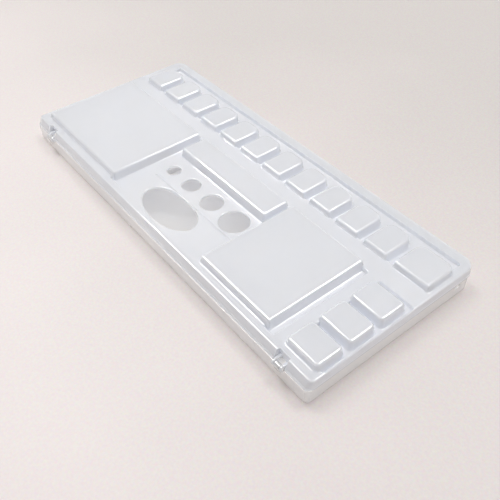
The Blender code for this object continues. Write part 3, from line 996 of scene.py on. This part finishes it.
# %% [markdown]
# ## Table, light and camera
#
# The table is a pale, slightly warm board with a fine grain. Its colour is painted a little darker
# towards the back, a painted shade for the light that falls off there. A white object on a pale
# table has little colour to tell them apart, so the light does it. Two soft panels, behind and to
# the left, cast faint shadows to the front and to the near end, and the sky fills them. The bright
# lines along the rounded edges are reflections, and a panel strong enough to draw them would bleach
# the rest. So two more panels light only gloss: one is seen in the edges that face the near end,
# the other in those that face the front, and neither lies where the flat tops would mirror it.


# %% Table
# Painted shade: the table's colour grows darker along this direction, mostly towards the back.
PAINTED_SHADE_TOWARDS = (-0.4, 2.6, 0.0)


def table_material():
    material, tree, shader = new_material("table_top")
    link = tree.links.new
    place = tree.nodes.new("ShaderNodeTexCoord").outputs["Object"]
    speckle, drift = noise(tree, 900.0, 3.0, place), noise(tree, 6.0, 2.0, place)
    tint = tree.nodes.new("ShaderNodeMix")
    tint.data_type = "RGBA"
    tint.inputs["A"].default_value = (0.77, 0.705, 0.70, 1)
    tint.inputs["B"].default_value = (0.615, 0.58, 0.565, 1)
    # Painted shade: the tint darkens towards the back and the far end, on top of the random drift.
    slope = tree.nodes.new("ShaderNodeVectorMath")
    slope.operation = "DOT_PRODUCT"
    slope.inputs[1].default_value = PAINTED_SHADE_TOWARDS
    link(place, slope.inputs[0])
    shade = tree.nodes.new("ShaderNodeMath")
    shade.operation = "ADD"
    link(slope.outputs["Value"], shade.inputs[0])
    link(drift.outputs[0], shade.inputs[1])
    link(shade.outputs[0], tint.inputs["Factor"])
    fleck = tree.nodes.new("ShaderNodeMix")
    fleck.data_type = "RGBA"
    fleck.blend_type = "OVERLAY"
    fleck.inputs["Factor"].default_value = 0.22
    link(tint.outputs["Result"], fleck.inputs["A"])
    link(speckle.outputs["Color"], fleck.inputs["B"])
    link(fleck.outputs["Result"], shader.inputs["Base Color"])
    bump = tree.nodes.new("ShaderNodeBump")
    bump.inputs["Distance"].default_value = 0.00002
    link(speckle.outputs[0], bump.inputs["Height"])
    link(bump.outputs[0], shader.inputs["Normal"])
    shader.inputs["Roughness"].default_value = 0.6
    return material


TABLE_HALF = 1.5
table_mesh = bpy.data.meshes.new("table")
corners = [(x * TABLE_HALF, y * TABLE_HALF, 0.0) for x, y in ((-1, -1), (1, -1), (1, 1), (-1, 1))]
table_mesh.from_pydata(corners, [], [(0, 1, 2, 3)])
table_mesh.materials.append(table_material())
table = bpy.data.objects.new("table", table_mesh)
bpy.context.scene.collection.objects.link(table)


# %% Light
PANEL_HEIGHT = 1.0
LIGHT_COLOUR = (1.0, 0.985, 0.97)


def panel(name, x, y, size_x, size_y, power, only_gloss):
    """A soft lamp that looks straight down, or one that only reflections see."""
    light = bpy.data.lights.new(name, "AREA")
    light.shape, light.size, light.size_y = "RECTANGLE", size_x, size_y
    light.energy, light.color = power, LIGHT_COLOUR
    made = bpy.data.objects.new(name, light)
    made.location = (x, y, PANEL_HEIGHT)
    made.rotation_euler = Vector((0.0, 0.0, -1.0)).to_track_quat("-Z", "Y").to_euler()
    made.visible_diffuse = made.visible_transmission = not only_gloss
    bpy.context.scene.collection.objects.link(made)


panel("back_panel", 0.05, 0.5, 0.45, 0.4, 3.6, False)
panel("left_panel", -0.55, -0.05, 0.5, 0.4, 4.2, False)
panel("back_glint", 0.1, 0.55, 0.3, 0.25, 13.0, True)
panel("left_glint", -0.62, -0.05, 0.6, 0.3, 26.0, True)

SKY_STRENGTH = 0.54
world = bpy.data.worlds.new("room")
bpy.context.scene.world = world
world.use_nodes = True
sky = world.node_tree.nodes["Background"]
sky.inputs["Color"].default_value = (*LIGHT_COLOUR, 1)
sky.inputs["Strength"].default_value = SKY_STRENGTH
bpy.context.scene.view_settings.view_transform = "Standard"

# %% Camera
CAMERA_PLACE = Vector((0.2154, -0.152875, 0.2277))
CAMERA_TURN = math.degrees(math.atan2(0.5572, 0.4327))
CAMERA_TILT = 44.87
CAMERA_ROLL = 0.94
FIELD_OF_VIEW = 42.3
camera_data = bpy.data.cameras.new("camera")
camera_data.angle = math.radians(FIELD_OF_VIEW)
camera_data.clip_start = 0.01
camera = bpy.data.objects.new("camera", camera_data)
turn = Matrix.Rotation(math.radians(CAMERA_TURN), 4, "Z")
tilt = Matrix.Rotation(math.radians(CAMERA_TILT), 4, "X")
roll = Matrix.Rotation(math.radians(-CAMERA_ROLL), 4, "Z")
camera.matrix_world = Matrix.Translation(CAMERA_PLACE) @ turn @ tilt @ roll
bpy.context.scene.collection.objects.link(camera)
bpy.context.scene.camera = camera
print("camera", [[round(v, 4) for v in row] for row in camera.matrix_world.to_3x3().transposed()])
